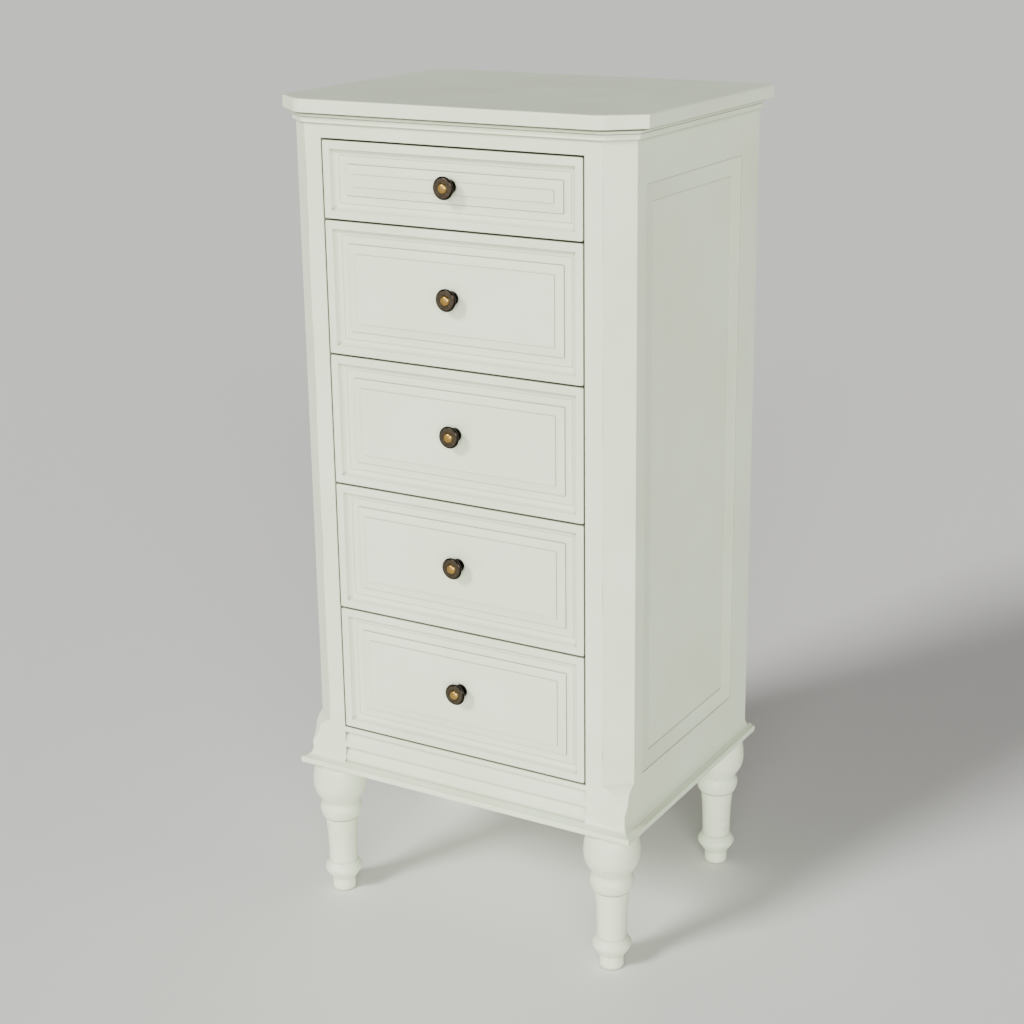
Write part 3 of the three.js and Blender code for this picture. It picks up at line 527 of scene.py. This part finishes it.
# ---- legs -----------------------------------------------------------------------------------
# Turned beech legs: a plain foot, a ring, a tapered shaft, a collar and a bulb. Each is held
# to the base board by a tenon, and its paint has a few hairline cracks.
cracked_enamel = satin_enamel("satin_enamel_on_turnings", cracked=True)
LEG_SIDES = 96
FOOT, RING, COLLAR, NECK, BULB, HEAD = 16, 25.8, 28.9, 25.8, 36.8, 30.9
FOOT_EASE = 1.4
SHAFT_LOW, SHAFT_HIGH = 19.3, 22.3
leg_top = base_low.z


def lathe(profile, sides, centre, upright=True):
    """A turned solid: radius and height along its axis, which stands up or faces forward."""
    solid = bmesh.new()
    rings = []
    for radius, height in profile[1:-1]:
        ring = []
        for i in range(sides):
            turn = 2 * math.pi * i / sides
            u, v = radius * math.cos(turn), radius * math.sin(turn)
            place = (u, v, height) if upright else (u, -height, v)
            ring.append(solid.verts.new(Vector(place) + Vector(centre)))
        rings.append(ring)
    skin(solid, rings)
    for ring, (_, height) in ((rings[0], profile[0]), (rings[-1], profile[-1])):
        tip = (0, 0, height) if upright else (0, -height, 0)
        middle = solid.verts.new(Vector(tip) + Vector(centre))
        for i in range(sides):
            solid.faces.new((ring[i], ring[(i + 1) % sides], middle))
    return solid


def down(points):
    """Turns distances below the base board into heights above the floor."""
    return [(radius, leg_top - 0.3 - drop) for radius, drop in points]


leg_profile = [(0, 0)] + arc(FOOT - FOOT_EASE, FOOT_EASE, FOOT_EASE, -90, 0, 5)
leg_profile += [(FOOT, 16.6), (FOOT - 0.3, 17.2)]
leg_profile += swell([(FOOT + 0.2, 18.2), (20.6, 23.2), (RING, 33), (21.5, 42),
                      (SHAFT_LOW, 44.2)], 28)
leg_profile += [(SHAFT_LOW, 49), (SHAFT_LOW + 0.9, 84)]
leg_profile += down([(SHAFT_HIGH, 87), (SHAFT_HIGH, 85.6), (SHAFT_HIGH - 0.7, 85.0)])
leg_profile += swell(down([(SHAFT_HIGH + 1.6, 83.2), (SHAFT_HIGH + 4.4, 80), (COLLAR, 69.5),
                           (NECK, 60.8)]), 20)
leg_profile += swell(down([(NECK, 58.4), (34.6, 43), (BULB, 27.5), (34.6, 9.6), (HEAD, 0)]), 34)
leg_profile += [(HEAD - 1, leg_top), (0, leg_top)]
for word in ("front_left", "front_right", "back_left", "back_right"):
    low, high = corners(f"leg_{word}")
    middle = ((low.x + high.x) / 2, (low.y + high.y) / 2, 0)
    piece(f"turned_leg_{word}", lathe(leg_profile, LEG_SIDES, middle), cracked_enamel,
          "carcass", f"leg_{word}")


# ---- back board and runner frames -----------------------------------------------------------
# The back is 6 mm plywood, pinned into the rebate. The drawers run on five softwood frames,
# planed and left bare.
DRAWERS = range(1, 6)
PINE_RING, PLY_FIGURE = 9, 26
# the flecks in the grain are about 0.3 mm wide, too fine to show, and are drawn four times as
# coarse; every figure is about seventeen times as long as it is wide
FLECK, DRAWN_OUT = 1.4, 0.06


def bare_wood(name, early, late, grain_axis, figure_mm, gloss):
    """Planed softwood or rotary-cut veneer: pale early wood with darker late-wood bands that
    wander along the grain, fine flecks, and the dull surface of unfinished wood."""
    material = new_material(name)
    place = node(material, "ShaderNodeTexCoord").outputs["Object"]
    squeeze = [1, 1, 1]
    squeeze["xyz".index(grain_axis)] = DRAWN_OUT
    along = node(material, "ShaderNodeMapping", {"Scale": squeeze},
                 {"Vector": place}).outputs[0]
    bands = node(material, "ShaderNodeTexNoise",
                 {"Scale": per_mm(figure_mm), "Detail": 3.0, "Distortion": 0.6},
                 {"Vector": along}).outputs["Fac"]
    flecks = node(material, "ShaderNodeTexNoise", {"Scale": per_mm(FLECK), "Detail": 2.0},
                  {"Vector": along}).outputs["Fac"]
    banded = node(material, "ShaderNodeMapRange", {"From Min": 0.42, "From Max": 0.66},
                  {"Value": bands}).outputs[0]
    figure = node(material, "ShaderNodeMix",
                  {"data_type": "RGBA", FIRST: linear(early), SECOND: linear(late)},
                  {SHARE: banded}).outputs[BLEND]
    flecked = node(material, "ShaderNodeMapRange",
                   {"From Min": 0.58, "From Max": 0.8, "To Max": 0.35},
                   {"Value": flecks}).outputs[0]
    colour = node(material, "ShaderNodeMix", {"data_type": "RGBA", SECOND: linear(late)},
                  {SHARE: flecked, FIRST: figure}).outputs[BLEND]
    bump = node(material, "ShaderNodeBump", {"Strength": 0.25, "Distance": 0.0003},
                {"Height": flecks}).outputs[0]
    shader = node(material, "ShaderNodeBsdfPrincipled", {"Roughness": gloss, "IOR": 1.5},
                  {"Base Color": colour, "Normal": bump})
    return finish_material(material, shader)


pine_across = bare_wood("planed_pine_grain_across", "#dcc095", "#bd935f", "x", PINE_RING, 0.62)
pine_along = bare_wood("planed_pine_grain_along", "#dabd90", "#bb9160", "y", PINE_RING, 0.62)
ply_upright = bare_wood("birch_plywood_grain_up", "#d3b58a", "#c29e6e", "z", PLY_FIGURE, 0.6)
ply_across = bare_wood("birch_plywood_grain_across", "#dac09a", "#c8a87c", "x", PLY_FIGURE, 0.6)

dress("back_panel", ply_upright)
for number in DRAWERS:
    dress(f"runner_frame_{number}", pine_along)


# ---- drawer fronts --------------------------------------------------------------------------
# Each front is a solid board with a flat border, a cove, a sunk band and a raised field whose
# edge has two small square steps; the corners of the mouldings are mitred.
FRONT_CORNER, CORNER_REACH, MITRE, CORNER_STEPS = 2.2, 2, 0.06, 3
COVE_RADIUS, COVE_END = 8, 18.5
FIELD_DEPTH = 4
front_profile = [(1.4, face_thick), (0.0, face_thick), (0.0, 0.9), (0.26, 0.26), (0.9, 0.0),
                 (10.1, 0.0), (10.5, 0.25)]
front_profile += [(inset, -v) for inset, v in arc(COVE_END, 0, COVE_RADIUS, 180, 270, 14)[1:]]
front_profile += [(18.7, 8.45), (19.1, 8.45), (19.3, 8.0)]
front_profile += [(28.6, 8.0), (29.0, 8.5), (29.4, 8.5), (29.5, 6.8), (29.8, 6.55),
                  (40.6, 5.4), (40.8, 5.55), (41.0, 5.55), (41.1, 4.25), (41.4, FIELD_DEPTH)]


def front_ring(low, high, inset, depth):
    """A rectangle at one inset and depth; the board's own corners are a little rounded."""
    radius = FRONT_CORNER if inset < CORNER_REACH else MITRE
    ring = []
    for corner, (sx, sz) in enumerate(((1, -1), (1, 1), (-1, 1), (-1, -1))):
        x = (high.x if sx > 0 else low.x) - sx * (inset + radius)
        z = (high.z if sz > 0 else low.z) - sz * (inset + radius)
        for i in range(CORNER_STEPS + 1):
            turn = math.radians(-90 + corner * 90 + 90 * i / CORNER_STEPS)
            ring.append((x + radius * math.cos(turn), case_front + depth,
                         z + radius * math.sin(turn)))
    return ring


for number in DRAWERS:
    low, high = corners(f"drawer_{number}_front")
    rings = [front_ring(low, high, inset, depth) for inset, depth in front_profile]
    piece(f"moulded_front_{number}", loft(rings), enamel, f"drawer_{number}",
          f"drawer_{number}_front")


# ---- drawer boxes ---------------------------------------------------------------------------
# Softwood sides and back round a thin plywood bottom that slides into grooves. The edges are
# eased by hand with sandpaper.
WOOD_EASE = 0.8


def eased_board(low, high):
    """A plain board with its long edges eased, drawn from its packed box."""
    left, right, foot, head = low.x, high.x, low.z, high.z
    ring = [(left + WOOD_EASE, foot), (right - WOOD_EASE, foot), (right, foot + WOOD_EASE),
            (right, head - WOOD_EASE), (right - WOOD_EASE, head), (left + WOOD_EASE, head),
            (left, head - WOOD_EASE), (left, foot + WOOD_EASE)]
    return loft([[(x, y, z) for x, z in ring] for y in (low.y, high.y)])


for number in DRAWERS:
    body = f"drawer_{number}"
    for part, wood in (("side_right", pine_along), ("side_left", pine_along),
                       ("back", pine_across)):
        piece(f"box_{part}_{number}", eased_board(*corners(f"{body}_{part}")), wood, body,
              f"{body}_{part}")
    dress(f"{body}_bottom", ply_across)


# ---- knobs ----------------------------------------------------------------------------------
# Turned brass knobs with a dark bronze patina that handling has rubbed off the small dome in
# the middle. Each sits on a rose and is held by a machine screw from inside the drawer.
KNOB_SIDES = 64
KNOB_REACH, KNOB_RADIUS, CROWN, KNOB_NECK, ROSE, ROSE_THICK = 20.5, 14.3, 8.8, 4.8, 8.8, 2.2
SCREW, SCREW_HEAD = 2.0, 4.2
# scratches and stains are well under 1 mm, too fine to show, and are drawn as coarse as this
WEAR = 2.6


def rubbed_bronze(name):
    """Brass under a dark patina: nearly black on the edge, neck and rose, grey brown on the
    dished face, warm brass on the dome, with wear that breaks the lines between them."""
    material = new_material(name)
    place = node(material, "ShaderNodeTexCoord").outputs["Object"]
    apart = node(material, "ShaderNodeSeparateXYZ", links={"Vector": place})
    flat = node(material, "ShaderNodeCombineXYZ",
                links={"X": apart.outputs["X"], "Y": apart.outputs["Z"]})
    radius = node(material, "ShaderNodeVectorMath", {"operation": "LENGTH"},
                  {0: flat.outputs[0]})
    wear = node(material, "ShaderNodeTexNoise", {"Scale": per_mm(WEAR), "Detail": 4.0},
                {"Vector": place}).outputs["Fac"]
    edge = node(material, "ShaderNodeMath", {"operation": "MULTIPLY_ADD", 1: 0.003},
                {0: wear, 2: radius.outputs["Value"]}).outputs[0]
    forward = node(material, "ShaderNodeMapRange", {"From Min": -0.0146, "From Max": -0.0158},
                   {"Value": apart.outputs["Y"]}).outputs[0]
    in_dish = node(material, "ShaderNodeMapRange", {"From Min": 0.0142, "From Max": 0.0133},
                   {"Value": edge}).outputs[0]
    on_dome = node(material, "ShaderNodeMapRange", {"From Min": 0.0084, "From Max": 0.0068},
                   {"Value": edge}).outputs[0]
    dish = node(material, "ShaderNodeMath", {"operation": "MULTIPLY"},
                {0: in_dish, 1: forward}).outputs[0]
    dome = node(material, "ShaderNodeMath", {"operation": "MULTIPLY"},
                {0: on_dome, 1: forward}).outputs[0]
    mottled = node(material, "ShaderNodeMapRange", {"From Min": 0.3, "From Max": 0.7},
                   {"Value": wear}).outputs[0]
    handled = node(material, "ShaderNodeMix",
                   {"data_type": "RGBA", FIRST: linear("#4d453a"), SECOND: linear("#675d4c")},
                   {SHARE: mottled}).outputs[BLEND]
    patina = node(material, "ShaderNodeMix", {"data_type": "RGBA", FIRST: linear("#211c19")},
                  {SHARE: dish, SECOND: handled}).outputs[BLEND]
    colour = node(material, "ShaderNodeMix", {"data_type": "RGBA", SECOND: linear("#b3904c")},
                  {SHARE: dome, FIRST: patina}).outputs[BLEND]
    gloss = node(material, "ShaderNodeMapRange",
                 {"From Min": 0.3, "From Max": 0.7, "To Min": 0.28, "To Max": 0.42},
                 {"Value": wear}).outputs[0]
    bump = node(material, "ShaderNodeBump", {"Strength": 0.2, "Distance": 0.0003},
                {"Height": wear}).outputs[0]
    shader = node(material, "ShaderNodeBsdfPrincipled", {"Metallic": 1.0},
                  {"Base Color": colour, "Roughness": gloss, "Normal": bump})
    return finish_material(material, shader)


bronze = rubbed_bronze("rubbed_bronze_over_brass")
inside = FIELD_DEPTH - face_thick
knob_profile = [(0, inside - 2.7), (2.6, inside - 2.5), (SCREW_HEAD - 0.5, inside - 1.7),
                (SCREW_HEAD, inside - 0.3), (SCREW, inside - 0.3), (SCREW, HAIR), (ROSE, HAIR),
                (ROSE, ROSE_THICK - 0.6), (ROSE - 0.25, ROSE_THICK - 0.2),
                (ROSE - 0.8, ROSE_THICK)]
knob_profile += swell([(5.6, ROSE_THICK + 0.8), (KNOB_NECK, 5.6), (6, 8.8), (9.8, 11.2)], 12)
knob_profile += swell([(13.6, KNOB_REACH - 6.8), (KNOB_RADIUS, KNOB_REACH - 5),
                       (12.2, KNOB_REACH - 3.2), (CROWN, KNOB_REACH - 3.1)], 18)
knob_profile += [(7.0, KNOB_REACH - 3.0), (6.7, KNOB_REACH - 3.4), (6.4, KNOB_REACH - 3.1)]
knob_profile += swell([(6.2, KNOB_REACH - 2.7), (4.4, KNOB_REACH - 1.0),
                       (0.01, KNOB_REACH)], 10)
knob_profile += [(0, KNOB_REACH)]
for number in DRAWERS:
    low, high = corners(f"drawer_{number}_knob")
    centre = Vector((0, case_front + FIELD_DEPTH, (low.z + high.z) / 2))
    turning = lathe(knob_profile, KNOB_SIDES, (0, 0, 0), upright=False)
    knob = piece(f"turned_knob_{number}", turning, bronze, f"drawer_{number}",
                 f"drawer_{number}_knob")
    knob.location = centre / 1000
    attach(knob, f"drawer_{number}")


# ---- floor, light and camera ----------------------------------------------------------------
# A plain pale floor that runs out of sight, a soft light high on the left, a broader low one a
# little to the right, and the light of a pale room that is darker overhead.
FLOOR_HALF = 60
floor_mesh = bpy.data.meshes.new("floor")
floor_mesh.from_pydata([(x * FLOOR_HALF, y * FLOOR_HALF, 0)
                        for x, y in ((-1, -1), (1, -1), (1, 1), (-1, 1))], [], [(0, 1, 2, 3)])
floor = bpy.data.objects.new("floor", floor_mesh)
bpy.context.scene.collection.objects.link(floor)
floor_paint = new_material("pale_matt_floor")
floor_mesh.materials.append(finish_material(floor_paint, node(
    floor_paint, "ShaderNodeBsdfPrincipled",
    {"Base Color": linear("#efeeeb"), "Roughness": 0.75})))

ROOM_LIGHT, ROOM_FALL = 1.5, 4.0
world = bpy.data.worlds.new("studio")
bpy.context.scene.world = world
world.use_nodes = True
heading = node(world, "ShaderNodeTexCoord").outputs["Generated"]
height = node(world, "ShaderNodeSeparateXYZ", links={"Vector": heading}).outputs["Z"]
lowness = node(world, "ShaderNodeMapRange", {"To Min": 1.0, "To Max": 0.0},
               {"Value": height}).outputs[0]
level = node(world, "ShaderNodeMath", {"operation": "POWER", 1: ROOM_FALL},
             {0: lowness}).outputs[0]
glow = node(world, "ShaderNodeMath", {"operation": "MULTIPLY", 1: ROOM_LIGHT},
            {0: level}).outputs[0]
room = world.node_tree.nodes["Background"]
room.inputs["Color"].default_value = linear("#eef0ee")
world.node_tree.links.new(glow, room.inputs["Strength"])


def out_of(azimuth, elevation):
    """The direction of a heading, given in radians from the chest's front and the floor."""
    return Vector((math.sin(azimuth) * math.cos(elevation),
                   -math.cos(azimuth) * math.cos(elevation), math.sin(elevation)))


def soft_light(name, azimuth, elevation, strength, spread):
    """A wide even light from one heading; angles in degrees."""
    light = bpy.data.lights.new(name, "SUN")
    light.energy = strength
    light.angle = math.radians(spread)
    holder = bpy.data.objects.new(name, light)
    source = out_of(math.radians(azimuth), math.radians(elevation))
    holder.rotation_euler = (-source).to_track_quat("-Z", "Y").to_euler()
    bpy.context.scene.collection.objects.link(holder)


soft_light("window", -22, 35, 3.3, 15)
soft_light("softbox", 30, 8, 5.2, 45)

CAMERA_PLACE = Vector((1.2378, -2.1254, 1.3567))
AZIMUTH, ELEVATION, ROLL = (math.radians(a) for a in (30.152, 17.13, -0.621))
LENS, SHIFT_ACROSS, SHIFT_UP = 67.81, -0.0175, -0.0403
camera_data = bpy.data.cameras.new("camera")
camera_data.sensor_width = 36
camera_data.lens = LENS
camera_data.shift_x = SHIFT_ACROSS
camera_data.shift_y = SHIFT_UP
camera = bpy.data.objects.new("camera", camera_data)
back = out_of(AZIMUTH, ELEVATION)
right = (-back).cross(Vector((0, 0, 1))).normalized()
up = back.cross(right)
turn = Matrix((right * math.cos(ROLL) + up * math.sin(ROLL),
               up * math.cos(ROLL) - right * math.sin(ROLL), back)).transposed()
camera.matrix_world = Matrix.Translation(CAMERA_PLACE) @ turn.to_4x4()
bpy.context.scene.collection.objects.link(camera)
bpy.context.scene.camera = camera

bpy.context.view_layer.update()
